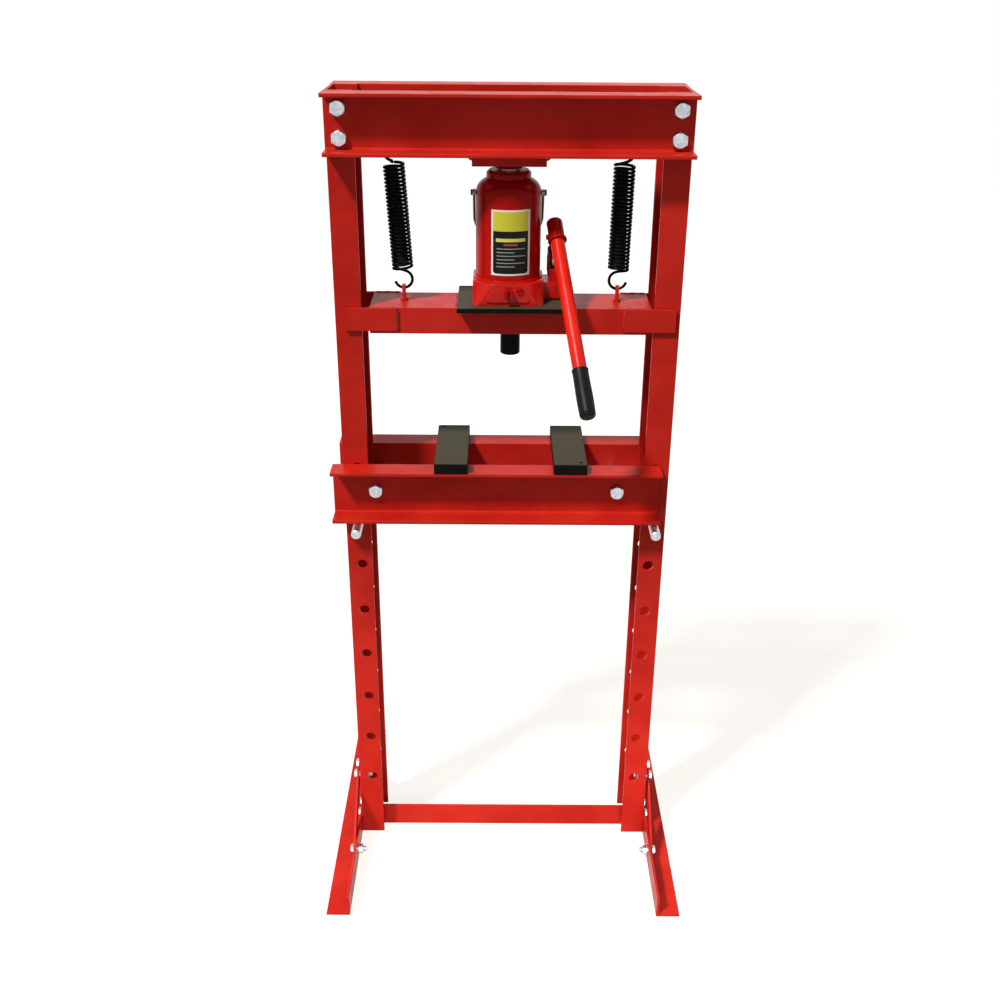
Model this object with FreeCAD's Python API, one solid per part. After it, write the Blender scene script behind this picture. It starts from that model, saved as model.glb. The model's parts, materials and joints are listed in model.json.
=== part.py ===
import FreeCAD, Part
import math
import os

# Hydraulic shop press: a bolted frame of rolled channel, a bed that hangs on two
# pins, and a beam that a bottle jack pushes down against two return springs.
# X is to the right, Y to the rear and Z up, in millimetres, and the origin is on
# the floor under the middle of the frame. At rest the jack is closed.

# ---- frame ----
FRAME_H = 1500.0
HEAD_W = 600.0
POST_INSET = 1.0            # each post stands this far inside the end of the head
BASE_W = 690.0
FOOT_L = 595.0
HEAD_D = 97.0               # depth of the head's channels
SECTION_D = 100.0           # depth of the posts', bed's and beam's channels
SECTION_F = 46.0            # width of every channel's flanges
WEB_T = 5.0
FLANGE_T = 6.5
ROOT_R = 3.5                # inner corner of the sections
TOE_R = 2.5                 # edge of a flange
ANGLE_T = 5.0

# ---- pin holes, bed and arbor plates ----
HOLE_R = 10.0
HOLE_INSET = 26.5           # holes from the outer face of a post
HOLE_FIRST_Z = 144.0
HOLE_PITCH = 100.0
HOLE_COUNT = 8
BED_HOLE = 6                # the hole, counted from 0, that carries the bed
PIN_R = 9.0
PIN_L = 250.0
PIN_CHAMFER = 2.0
BED_SIDE_PLAY = 20.0        # between the bed's spacers and the posts, when it is centred
BED_SIDE_LEFT = 2.0         # what is left of that play at the left
BED_PLAY = 1.0              # between the bed's channels and the posts
SPACER_R = 11.0
PLATE_L = 195.0
PLATE_W = 60.0
PLATE_T = 20.0
PLATE_X = (-100.0, 115.0)
PLATE_HOLE_R = 3.0
PLATE_HOLE_INSET = 11.0

# ---- pressing beam ----
OPENING = 247.0             # from the bed up to the beam
BEAM_PLAY = 8.5             # between each end of the beam and a post
BEAM_SHIFT = 5.0            # sideways play taken up to the right
GUIDE_PLAY = 1.0            # between the beam's guide straps and the posts
STRAP_H = 40.0
STRAP_T = 6.0
STRAP_L = 89.0
STRAP_END = 13.0            # straps stop this far inside a post's outer face
SEAT_T = 17.0
SEAT_W = 122.0
SEAT_D = 140.0
JACK_PLATE = (185.0, 152.0, 8.0)
JACK_PLATE_Y = -7.0
PRESS_PIN_R = 17.5
PRESS_PIN_OUT = 49.0        # how far the pressing pin stands below the beam
PIN_BOSS_R = 26.0

# ---- bottle jack ----
BASE_MARGIN = (4.5, 10.5)   # foot beyond the reservoir, sideways and to the front
BASE_CORNER = 12.0
BASE_CONE = (28.3, 13.8)    # cone that trims the corners, beyond the reservoir: foot and top
BASE_H = 41.0
COLLAR_H = 3.0
TANK_R = 56.2
TANK_WALL = 3.0
TANK_SHOULDER = 26.0
RAM_R = 20.0
CYLINDER_WALL = 6.0
LABEL_X = (-29.0, 36.0)
LABEL_H = 110.0
LABEL_UP = 9.0              # above the reservoir's lower edge
LABEL_T = 0.4
FLOOR_T = 8.0               # metal under the cylinder
PISTON_GAP = 3.0            # oil space under the ram when the jack is closed
NUT_R = 38.0
NUT_SKIRT = 12.0
NUT_ABOVE = 13.0
NUT_CHAMFER = 4.5
SADDLE_R = 26.0
SADDLE_T = 12.0
SADDLE_TAPER = 3.0          # under the saddle's edge, on the radius
SADDLE_CLEAR = 3.0          # between the top nut and the saddle, when the jack is closed
SCREW_R = 12.0
SCREW_L = 70.0
RUN = 0.05                  # running clearance, on the radius
VALVE_AT = (1.0, 22.0)      # release valve: X, and height above the jack's foot
RELIEF_AT = (20.0, 26.5)
RELIEF_CAP_R = 6.5
VALVE_R = 6.0
VALVE_IN = 24.0

# ---- pump and handle ----
PUMP_OUT = 27.2             # pump's axis beyond the reservoir
PUMP_Y = -10.0
HANDLE_TURN = 11.4          # the lever's plane, degrees from straight ahead to +X
HANDLE_DIP = 45.0           # slope of the handle at rest
LUG_R = 16.0
LUG_TOP = 32.0              # above the jack's foot
BARREL_R = 12.0
BARREL_H = 18.0
PLUNGER_R = 6.0
TONGUE = (3.5, 10.0, 12.0)  # half thickness, reach behind and reach ahead
TONGUE_ABOVE = 7.0          # above the plunger's pin
CHEEK_T = 2.5
LINK_T = 2.5
LINK_R = 9.5                # half the width of a link
LINK_WEB_SET = 0.5          # the link's web stands this far behind its rounded ends
SIDE_GAP = 0.2
LEVER_PIN_R = 4.0
LEVER_ARM = 24.0            # from the pivot to the plunger's pin
LEVER_SWING = 60.0          # degrees
PIN_LIFT = 65.0             # plunger's pin above the jack's foot
AXIS_LIFT = 104.9           # the handle's line over the pump, above the jack's foot
TUBE_R = 12.2
TUBE_WALL = 2.0
TUBE_IN = 33.0
SOCKET_R = 13.8
SOCKET_L = 42.0
SOCKET_AHEAD = 7.0          # end of the socket, along the handle from over the pump
SOCKET_DOME = 6.0           # rounding of its closed end
SOCKET_END = 5.5            # metal in the closed end
LIP_R = 16.4
LIP_L = 4.0
GRIP_R = 13.9
GRIP_L = 88.0
GRIP_END = 340.0            # end of the grip, along the handle from over the pump
GRIP_CAP = 3.0

# ---- carrying bail of the jack ----
BAIL_WIRE = 2.2
BAIL_OUT = 2.7              # wire beyond the reservoir
BAIL_Z = 179.0              # above the jack's foot
BAIL_REACH = 113.0
BAIL_LEAN = 0.3             # between the hanging bail and the back of the reservoir
BAIL_EYE_R = 5.5
BAIL_EYE_HALF = 2.4         # half the width of an eye
BAIL_PIN_R = 3.0

# ---- return springs ----
WIRE_R = 2.6
COIL_R = 16.4               # centre line of the wire
COIL_TURNS = 27
COIL_L = 176.0
HOOK_R = 15.0
HOOK_SWEEP = 280.0          # degrees of wire in each hook
HANGER_R = 5.0
HANGER_X = 195.0
HANGER_UP = 3.0             # above the underside of the head
EYE_X = 187.0
EYE_UP = 22.0               # hole of the eye above the beam
EYE_HOLE = 3.4
EYE_R = 7.0
EYE_T = 6.0
EYE_STUD_R = 4.0

# ---- base, braces and fasteners ----
BASE_BOLT_Y = 18.0
BASE_BOLT_Z = 24.0
BRACE_TOP_Z = 126.0
BRACE_FOOT_Y = 134.0
BRACE_W = 30.0
BRACE_T = 4.0
CROSS_Y = -25.0
CROSS_H = 49.0
NUT_ROOM = 23.0             # cut from the cross member's upright leg for the nuts
END_PLATE_PLAY = 4.0        # between the end plates and a post's flanges
# a fastener is (thread radius, across flats, head, nut, washer radius, washer)
M16 = (8.0, 24.0, 10.0, 13.0, 14.0, 3.0)
M10 = (5.0, 17.0, 6.4, 8.4, 10.0, 2.0)
BOLT_TAIL = 6.0             # thread that shows beyond a nut
HOLE_PLAY = 0.5             # a bolt in its hole, on the radius
SEAT_GAP = 0.1              # between a curved part and what it rests on
HOOK_GAP = 0.5              # between a spring's hook and the edge of its eye
HEAD_BOLT_IN = (17.5, 19.5)  # from the inner faces of the head's lower and upper flanges

# ---- heights and places that follow ----
POST_X = HEAD_W / 2 - POST_INSET
POST_EDGE = POST_X - SECTION_F
HOLE_X = POST_X - HOLE_INSET
HEAD_BOLT_X = POST_X - SECTION_F / 2
FOOT_LEG = BASE_W / 2 - POST_X
HALF_D = SECTION_D / 2
HEAD_Z = FRAME_H - HEAD_D
END_PLATE_HALF = HALF_D - FLANGE_T - END_PLATE_PLAY
PIN_Z = HOLE_FIRST_Z + BED_HOLE * HOLE_PITCH - (HOLE_R - PIN_R - SEAT_GAP)
BED_Z = PIN_Z + PIN_R + 0.3
BED_TOP = BED_Z + SECTION_D
BED_Y = HALF_D + BED_PLAY
BED_BOLT_SPAN = 2 * (POST_EDGE - SPACER_R - BED_SIDE_PLAY)
BED_SHIFT = BED_SIDE_LEFT - BED_SIDE_PLAY
BEAM_Z = BED_TOP + OPENING
BEAM_TOP = BEAM_Z + SECTION_F
BEAM_L = 2 * (POST_EDGE - BEAM_PLAY)
BEAM_D = SECTION_D + 2 * GUIDE_PLAY
JACK_Z = BEAM_TOP + JACK_PLATE[2]
SEAT_Z = HEAD_Z - SEAT_T
BASE_SIZE = (2 * (TANK_R + BASE_MARGIN[0]), 2 * (TANK_R + BASE_MARGIN[1]))
TANK_Z = JACK_Z + BASE_H
CYL_R = RAM_R + CYLINDER_WALL
CYL_Z = JACK_Z + FLOOR_T
RAM_Z = CYL_Z + PISTON_GAP
RAM_TOP = SEAT_Z - SADDLE_T
TANK_TOP = RAM_TOP - NUT_ABOVE - SADDLE_CLEAR
CYL_TOP = TANK_TOP + 2.0
NUT_TOP = TANK_TOP + NUT_ABOVE
PUMP_X = TANK_R + PUMP_OUT
BAIL_X = TANK_R + BAIL_OUT
BAIL_DROP = math.acos((TANK_R + BAIL_LEAN + BAIL_WIRE) / BAIL_REACH)
PUMP_PIN_Z = JACK_Z + PIN_LIFT
DIP = math.radians(HANDLE_DIP)
TURN = math.radians(HANDLE_TURN)
HALF_SWING = math.radians(LEVER_SWING / 2)
PIVOT_U = -LEVER_ARM * math.cos(HALF_SWING)
PIVOT_Z = PUMP_PIN_Z + LEVER_ARM * math.sin(HALF_SWING)
LINK_FOOT_Z = JACK_Z + LUG_TOP + LINK_R + 1.0


def vec(x, y, z):
    return FreeCAD.Vector(x, y, z)


def box(x, y, z):
    """A box from three pairs of limits."""
    return Part.makeBox(x[1] - x[0], y[1] - y[0], z[1] - z[0], vec(x[0], y[0], z[0]))


def rod(radius, start, end):
    """A round bar between two points."""
    way = vec(*end) - vec(*start)
    return Part.makeCylinder(radius, way.Length, vec(*start), way)


def ring(outer, inner, start, end):
    return rod(outer, start, end).cut(rod(inner, start, end))


def chamfered_rod(radius, chamfer, start, end):
    """A round bar with both ends chamfered."""
    bar = rod(radius, start, end)
    rims = [e for e in bar.Edges if type(e.Curve) is Part.Circle]
    return bar.makeChamfer(chamfer, rims)


def turned(shape, axis, angle):
    """The shape turned about an axis through the origin."""
    shape.rotate(vec(0, 0, 0), vec(*axis), angle)
    return shape


def moved(shape, x, y, z):
    shape.translate(vec(x, y, z))
    return shape


def outline(points, radii):
    """A closed wire through the points, with each corner rounded to its radius."""
    edges = []
    count = len(points)
    ends = []
    for i in range(count):
        here = points[i]
        back = (points[i - 1] - here).normalize()
        ahead = (points[(i + 1) % count] - here).normalize()
        half = back.getAngle(ahead) / 2
        reach = radii[i] / math.tan(half)
        middle = here
        if radii[i]:
            bisector = (back + ahead).normalize()
            middle = here + bisector * (radii[i] / math.sin(half) - radii[i])
        ends.append((here + back * reach, middle, here + ahead * reach))
    for i in range(count):
        first, middle, last = ends[i]
        if radii[i]:
            edges.append(Part.Arc(first, middle, last).toShape())
        edges.append(Part.LineSegment(last, ends[(i + 1) % count][0]).toShape())
    return Part.Wire(edges)


def prism(points, radii, way):
    """A solid drawn out from a rounded outline."""
    return Part.Face(outline(points, radii)).extrude(vec(*way))


def revolved(profile, z=0.0):
    """A solid turned about the Z axis from (radius, height) points."""
    points = [vec(r, 0, h + z) for r, h in profile]
    face = Part.Face(Part.makePolygon(points + points[:1]))
    return face.revolve(vec(0, 0, 0), vec(0, 0, 1), 360)


def channel(length, depth=SECTION_D, flange=SECTION_F):
    """A channel along X. Its back lies on Z = 0 and its flanges rise to +Z."""
    y = depth / 2
    inner = y - FLANGE_T
    corners = [(-y, 0), (y, 0), (y, flange), (inner, flange), (inner, WEB_T)]
    corners += [(-inner, WEB_T), (-inner, flange), (-y, flange)]
    points = [vec(-length / 2, a, b) for a, b in corners]
    radii = [0.8, 0.8, 0.8, TOE_R, ROOT_R, ROOT_R, TOE_R, 0.8]
    return prism(points, radii, (length, 0, 0))


def angle_bar(length, leg, upright):
    """An angle along X: one leg stands on Y = 0, the other lies on Z = 0."""
    t = ANGLE_T
    corners = [(0, 0), (leg, 0), (leg, t), (t, t), (t, upright), (0, upright)]
    points = [vec(-length / 2, a, b) for a, b in corners]
    return prism(points, [0.8, 0.8, TOE_R, ROOT_R, TOE_R, 0.8], (length, 0, 0))


def hexagon(flats, height):
    """A hexagonal block on Z = 0 with flats across X and a chamfered top."""
    corner = flats / math.sqrt(3)
    angles = [math.radians(30 + 60 * i) for i in range(6)]
    points = [vec(corner * math.sin(a), corner * math.cos(a), 0) for a in angles]
    block = turned(prism(points, [0] * 6, (0, 0, height)), (0, 0, 1), 30)
    rise = 0.5 * corner
    top = flats / 2 * 0.95
    cone = Part.makeCone(top + height + rise, top, height + rise)
    return block.common(moved(cone, 0, 0, -rise))


def bolt(kind, grip):
    """A bolt whose head stands on Z = 0 and whose shank goes down through its grip."""
    thread, flats, head, nut_h, _, washer_t = kind
    length = grip + washer_t + nut_h + BOLT_TAIL
    shank = Part.makeCylinder(thread, length - 1.5, vec(0, 0, 1.5 - length))
    point = Part.makeCone(thread - 1.5, thread, 1.5, vec(0, 0, -length))
    return hexagon(flats, head).fuse([shank, point]).removeSplitter()


def nut(kind):
    """A nut on Z = 0."""
    hole = Part.makeCylinder(kind[0] + RUN, kind[3])
    return hexagon(kind[1], kind[3]).cut(hole)


def washer(kind):
    """A washer on Z = 0."""
    return ring(kind[4], kind[0] + HOLE_PLAY, (0, 0, 0), (0, 0, kind[5]))


def aimed(shape, place, way):
    """The shape with its Z axis turned to the way given, and moved to the place."""
    turn = FreeCAD.Rotation(vec(0, 0, 1), vec(*way))
    shape.Placement = FreeCAD.Placement(vec(*place), turn)
    return shape


def export(name, *solids):
    """Writes one sub-part: each piece is a closed solid of its own."""
    flat = []
    for solid in solids:
        flat += solid.Solids
    shape = flat[0] if len(flat) == 1 else Part.makeCompound(flat)
    shape.exportStep(os.path.join("parts", name + ".step"))


# ---- frame ----
def head_bolt_places():
    low, high = HEAD_BOLT_IN
    heights = (HEAD_Z + FLANGE_T + low, FRAME_H - FLANGE_T - high)
    return [(side * HEAD_BOLT_X, z) for side in (-1, 1) for z in heights]


def head():
    """Two channels back to back against the posts, and the bolts that join them."""
    bolts = []
    nuts = []
    washers = []
    for name, face in (("front", -1), ("rear", 1)):
        bar = turned(channel(HEAD_W, HEAD_D), (1, 0, 0), -90 * face)
        moved(bar, 0, face * HALF_D, HEAD_Z + HEAD_D / 2)
        for x, z in head_bolt_places():
            hole = rod(M16[0] + HOLE_PLAY, (x, -2 * HALF_D, z), (x, 2 * HALF_D, z))
            bar = bar.cut(hole)
            inside = HALF_D - FLANGE_T
            bolts.append(aimed(bolt(M16, WEB_T + FLANGE_T), (x, face * (HALF_D + WEB_T), z), (0, face, 0)))
            washers.append(aimed(washer(M16), (x, face * inside, z), (0, -face, 0)))
            nuts.append(aimed(nut(M16), (x, face * (inside - M16[5]), z), (0, -face, 0)))
        export("head_channel_" + name, bar)
    export("head_bolts", *bolts)
    export("head_nuts", *nuts)
    export("head_washers", *washers)


def seat_plate():
    """The block under the head that the jack pushes against."""
    half = SEAT_W / 2
    plate = box((-half, half), (-SEAT_D / 2, SEAT_D / 2), (SEAT_Z, HEAD_Z))
    export("jack_seat_plate", plate)


def hangers():
    """Cross bars between the head's channels that hold the springs."""
    z = HEAD_Z + HANGER_UP
    bars = [rod(HANGER_R, (s * HANGER_X, -HALF_D, z), (s * HANGER_X, HALF_D, z)) for s in (-1, 1)]
    export("spring_hangers", *bars)


def web_bolt_places():
    """Bolts through the web of a post, as (Y, Z)."""
    places = [(y, BASE_BOLT_Z) for y in (-BASE_BOLT_Y, BASE_BOLT_Y)]
    return places + [(y, BRACE_TOP_Z) for y in (-BASE_BOLT_Y, BASE_BOLT_Y)]


def foot_bolt_places():
    places = [(y, BASE_BOLT_Z) for y in (-BASE_BOLT_Y, BASE_BOLT_Y)]
    return places + [(y, BASE_BOLT_Z) for y in (-BRACE_FOOT_Y, BRACE_FOOT_Y)]


def drilled(shape, places, side):
    """Bolt holes along X through whatever stands at a post's outer face."""
    for y, z in places:
        start = (side * (POST_X - 30), y, z)
        shape = shape.cut(rod(M10[0] + HOLE_PLAY, start, (side * (POST_X + 30), y, z)))
    return shape


def post(side):
    bar = turned(channel(FRAME_H), (0, 1, 0), -90 * side)
    moved(bar, side * POST_X, 0, FRAME_H / 2)
    for i in range(HOLE_COUNT):
        z = HOLE_FIRST_Z + i * HOLE_PITCH
        x = side * HOLE_X
        bar = bar.cut(rod(HOLE_R, (x, -SECTION_D, z), (x, SECTION_D, z)))
    for x, z in head_bolt_places():
        bar = bar.cut(rod(M16[0] + HOLE_PLAY, (x, -SECTION_D, z), (x, SECTION_D, z)))
    return drilled(bar, web_bolt_places(), side)


def foot(side):
    bar = turned(angle_bar(FOOT_L, FOOT_LEG, SECTION_F), (0, 0, 1), -90 * side)
    moved(bar, side * POST_X, 0, 0)
    return drilled(bar, foot_bolt_places(), side)


def brace(side, face):
    """A flat bar from the post down to the foot, with rounded ends."""
    top = vec(0, face * BASE_BOLT_Y, BRACE_TOP_Z)
    foot_end = vec(0, face * BRACE_FOOT_Y, BASE_BOLT_Z)
    along = (foot_end - top).normalize() * (BRACE_W / 2)
    across = along.cross(vec(1, 0, 0))
    a = top - along
    b = foot_end + along
    points = [a + across, b + across, b - across, a - across]
    bar = prism(points, [BRACE_W / 2 - 0.01] * 4, (BRACE_T, 0, 0))
    x = POST_X + ANGLE_T if side > 0 else -POST_X - ANGLE_T - BRACE_T
    moved(bar, x, 0, 0)
    places = [(face * BASE_BOLT_Y, BRACE_TOP_Z), (face * BRACE_FOOT_Y, BASE_BOLT_Z)]
    return drilled(bar, places, side)


def cross_member():
    """An angle between the posts, with a bolted plate on each end."""
    inner = POST_X - WEB_T
    plate_in = inner - ANGLE_T
    bar = angle_bar(2 * plate_in, SECTION_F, CROSS_H)
    moved(bar, 0, CROSS_Y, 0)
    for side in (-1, 1):
        cut = sorted((side * (plate_in - NUT_ROOM), side * plate_in))
        bar = bar.cut(box(cut, (CROSS_Y - 1, CROSS_Y + ANGLE_T + ROOT_R), (ANGLE_T, CROSS_H + 1)))
        ends = sorted((side * plate_in, side * inner))
        plate = box(ends, (-END_PLATE_HALF, END_PLATE_HALF), (0, CROSS_H))
        bar = bar.fuse(drilled(plate, foot_bolt_places()[:2], side))
    return bar.removeSplitter()


def base_fastener(side, y, z, outer, inner):
    """A bolt, washer and nut through the stack between two distances from the middle."""
    way = (side, 0, 0)
    back = (-side, 0, 0)
    return (
        aimed(bolt(M10, outer - inner), (side * outer, y, z), way),
        aimed(washer(M10), (side * inner, y, z), back),
        aimed(nut(M10), (side * (inner - M10[5]), y, z), back),
    )


def base():
    """Feet, braces and cross member, and everything that bolts them to the posts."""
    sets = []
    spacers = []
    inner = POST_X - WEB_T
    outer = POST_X + ANGLE_T
    for name, side in (("left", -1), ("right", 1)):
        export("post_" + name, post(side))
        export("foot_" + name, foot(side))
        export("braces_" + name, brace(side, -1), brace(side, 1))
        for face in (-1, 1):
            y = face * BASE_BOLT_Y
            sets.append(base_fastener(side, y, BASE_BOLT_Z, outer, inner - ANGLE_T))
            sets.append(base_fastener(side, y, BRACE_TOP_Z, outer + BRACE_T, inner))
            y_foot = face * BRACE_FOOT_Y
            sets.append(base_fastener(side, y_foot, BASE_BOLT_Z, outer + BRACE_T, POST_X))
            start = (side * POST_X, y, BRACE_TOP_Z)
            end = (side * outer, y, BRACE_TOP_Z)
            spacers.append(ring(M10[4], M10[0] + HOLE_PLAY, start, end))
    export("brace_spacers", *spacers)
    export("base_cross_member", cross_member())
    for i, name in enumerate(("base_bolts", "base_washers", "base_nuts")):
        export(name, *[s[i] for s in sets])


# ---- bed ----
def bed_bolt_places():
    return [BED_SHIFT - BED_BOLT_SPAN / 2, BED_SHIFT + BED_BOLT_SPAN / 2]


def bed():
    """Two channels held apart by tubes on two long bolts."""
    z = BED_Z + SECTION_D / 2
    bolts = []
    nuts = []
    washers = []
    tubes = []
    face = BED_Y + WEB_T
    for name, side in (("front", -1), ("rear", 1)):
        bar = turned(channel(HEAD_W), (1, 0, 0), -90 * side)
        moved(bar, BED_SHIFT, side * BED_Y, z)
        for x in bed_bolt_places():
            bar = bar.cut(rod(M16[0] + HOLE_PLAY, (x, -2 * BED_Y, z), (x, 2 * BED_Y, z)))
            if side > 0:
                washers.append(aimed(washer(M16), (x, face, z), (0, 1, 0)))
        export("bed_channel_" + name, bar)
    for x in bed_bolt_places():
        bolts.append(aimed(bolt(M16, 2 * face), (x, -face, z), (0, -1, 0)))
        nuts.append(aimed(nut(M16), (x, face + M16[5], z), (0, 1, 0)))
        tubes.append(ring(SPACER_R, M16[0] + HOLE_PLAY, (x, -BED_Y, z), (x, BED_Y, z)))
    export("bed_bolts", *bolts)
    export("bed_nuts", *nuts)
    export("bed_washers", *washers)
    export("bed_spacers", *tubes)


def bed_pins():
    """The loose pins through the posts that carry the bed."""
    for name, side in (("left", -1), ("right", 1)):
        x = side * HOLE_X
        pin = chamfered_rod(PIN_R, PIN_CHAMFER, (x, -PIN_L / 2, PIN_Z), (x, PIN_L / 2, PIN_Z))
        export("bed_pin_" + name, pin)


def arbor_plates():
    """Loose bearing plates, each with a small hole near one corner."""
    corners = {"left": (-1, 1), "right": (1, -1)}
    for name, x in zip(("left", "right"), PLATE_X):
        half = PLATE_W / 2
        plate = box((x - half, x + half), (-PLATE_L / 2, PLATE_L / 2), (BED_TOP, BED_TOP + PLATE_T))
        plate = plate.makeChamfer(1.0, plate.Edges)
        side, face = corners[name]
        hole_x = x + side * (half - PLATE_HOLE_INSET)
        hole_y = face * (PLATE_L / 2 - PLATE_HOLE_INSET)
        top = (hole_x, hole_y, BED_TOP + PLATE_T)
        plate = plate.cut(rod(PLATE_HOLE_R, (hole_x, hole_y, BED_TOP), top))
        export("arbor_plate_" + name, plate)


# ---- beam ----
def eye_places():
    return [BEAM_SHIFT - EYE_X, BEAM_SHIFT + EYE_X]


def beam():
    """A channel with its back up, guided on the posts by welded straps."""
    bar = turned(channel(BEAM_L, BEAM_D), (1, 0, 0), 180)
    moved(bar, BEAM_SHIFT, 0, BEAM_TOP)
    for x in eye_places():
        bar = bar.cut(rod(EYE_STUD_R + HOLE_PLAY, (x, 0, BEAM_Z), (x, 0, BEAM_TOP + 1)))
    export("press_beam", bar)
    straps = []
    y = BEAM_D / 2
    for side in (-1, 1):
        end = POST_X - STRAP_END
        x = sorted((BEAM_SHIFT + side * (end - STRAP_L), BEAM_SHIFT + side * end))
        straps.append(box(x, (-y - STRAP_T, -y), (BEAM_TOP - STRAP_H, BEAM_TOP)))
        straps.append(box(x, (y, y + STRAP_T), (BEAM_TOP - STRAP_H, BEAM_TOP)))
    export("guide_straps", *straps)


def jack_plate():
    wide, deep, thick = JACK_PLATE
    x = (BEAM_SHIFT - wide / 2, BEAM_SHIFT + wide / 2)
    y = (JACK_PLATE_Y - deep / 2, JACK_PLATE_Y + deep / 2)
    plate = box(x, y, (BEAM_TOP, BEAM_TOP + thick))
    export("jack_base_plate", plate)


def press_pin():
    """The pressing pin, with a boss that is welded under the beam's back."""
    x = BEAM_SHIFT
    low = BEAM_Z - PRESS_PIN_OUT
    pin = chamfered_rod(PRESS_PIN_R, 1.5, (x, 0, low), (x, 0, BEAM_TOP - WEB_T))
    boss = rod(PIN_BOSS_R, (x, 0, BEAM_Z), (x, 0, BEAM_TOP - WEB_T))
    export("press_pin", pin.fuse(boss).removeSplitter())


def spring_eyes():
    """Flattened eyes on studs through the beam, each with a nut underneath."""
    eyes = []
    nuts = []
    small = (EYE_STUD_R, 13.0, 5.0, 6.5)
    z = BEAM_TOP + EYE_UP
    under = BEAM_TOP - WEB_T
    for x in eye_places():
        thin = (x - EYE_T / 2, 0, z)
        eye = rod(EYE_R, thin, (x + EYE_T / 2, 0, z))
        eye = eye.fuse(box((x - EYE_T / 2, x + EYE_T / 2), (-EYE_R, EYE_R), (BEAM_TOP + 4, z)))
        eye = eye.fuse(rod(EYE_R, (x, 0, BEAM_TOP), (x, 0, BEAM_TOP + 4)))
        eye = eye.fuse(rod(EYE_STUD_R, (x, 0, under - 10), (x, 0, BEAM_TOP)))
        eyes.append(eye.cut(rod(EYE_HOLE, (x - EYE_R, 0, z), (x + EYE_R, 0, z))).removeSplitter())
        nuts.append(moved(turned(nut(small), (1, 0, 0), 180), x, 0, under))
    export("spring_eyes", *eyes)
    export("spring_eye_nuts", *nuts)


# ---- bottle jack ----
def lever_frame(shape):
    """Turns a shape drawn with X ahead and Y across into the lever's plane."""
    turned(shape, (0, 0, 1), HANDLE_TURN - 90)
    return moved(shape, PUMP_X, PUMP_Y, 0)


def lever_rod(radius, u, half, z):
    """A round bar across the lever's plane, still in that plane's own axes."""
    return rod(radius, (u, -half, z), (u, half, z))


def jack_base():
    """The cast foot: block, collar, pump lug, link boss, bores and oil ways."""
    wide, deep = BASE_SIZE
    corners = [(-wide / 2, -deep / 2), (wide / 2, -deep / 2), (wide / 2, deep / 2), (-wide / 2, deep / 2)]
    points = [vec(a, b, JACK_Z) for a, b in corners]
    block_h = BASE_H - COLLAR_H
    body = prism(points, [BASE_CORNER] * 4, (0, 0, block_h))
    foot_r, top_r = [TANK_R + margin for margin in BASE_CONE]
    body = body.common(Part.makeCone(foot_r, top_r, block_h, vec(0, 0, JACK_Z)))
    top = [e for e in body.Edges if e.BoundBox.ZMin > JACK_Z + block_h - 0.1]
    body = body.makeChamfer(1.5, top)
    lug_top = JACK_Z + LUG_TOP
    lug_low = JACK_Z + 3
    body = body.fuse(rod(wide / 2 - 0.5, (0, 0, JACK_Z + 10), (0, 0, TANK_Z)))
    body = body.fuse(rod(LUG_R, (PUMP_X, PUMP_Y, lug_low), (PUMP_X, PUMP_Y, lug_top)))
    body = body.fuse(box((0, PUMP_X), (PUMP_Y - LUG_R, -PIVOT_U + 8), (lug_low, lug_top)))
    boss_half = TONGUE[0] + SIDE_GAP + CHEEK_T
    boss = box((PIVOT_U - 8, PIVOT_U + 8), (-boss_half, boss_half), (lug_low, LINK_FOOT_Z + 7))
    boss = boss.cut(lever_rod(LEVER_PIN_R, PIVOT_U, 20, LINK_FOOT_Z))
    body = body.fuse(lever_frame(boss)).removeSplitter()
    body = body.cut(rod(CYL_R + RUN, (0, 0, CYL_Z), (0, 0, TANK_Z + 1)))
    foot_low = (PUMP_X, PUMP_Y, lug_top - 20)
    body = body.cut(rod(BARREL_R - 2 + RUN, foot_low, (PUMP_X, PUMP_Y, lug_top + 1)))
    body = body.cut(rod(5.0, (PUMP_X, PUMP_Y, lug_top - 29), foot_low))
    way = rod(2.5, (PUMP_X, PUMP_Y, lug_top - 24), (0, 0, CYL_Z + 4))
    body = body.cut(way)
    front = -deep / 2
    for (x, lift), radius in ((VALVE_AT, VALVE_R), (RELIEF_AT, 4.0)):
        start = (x, front - 1, JACK_Z + lift)
        body = body.cut(rod(radius + RUN, start, (x, front + VALVE_IN, JACK_Z + lift)))
    return body


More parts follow.
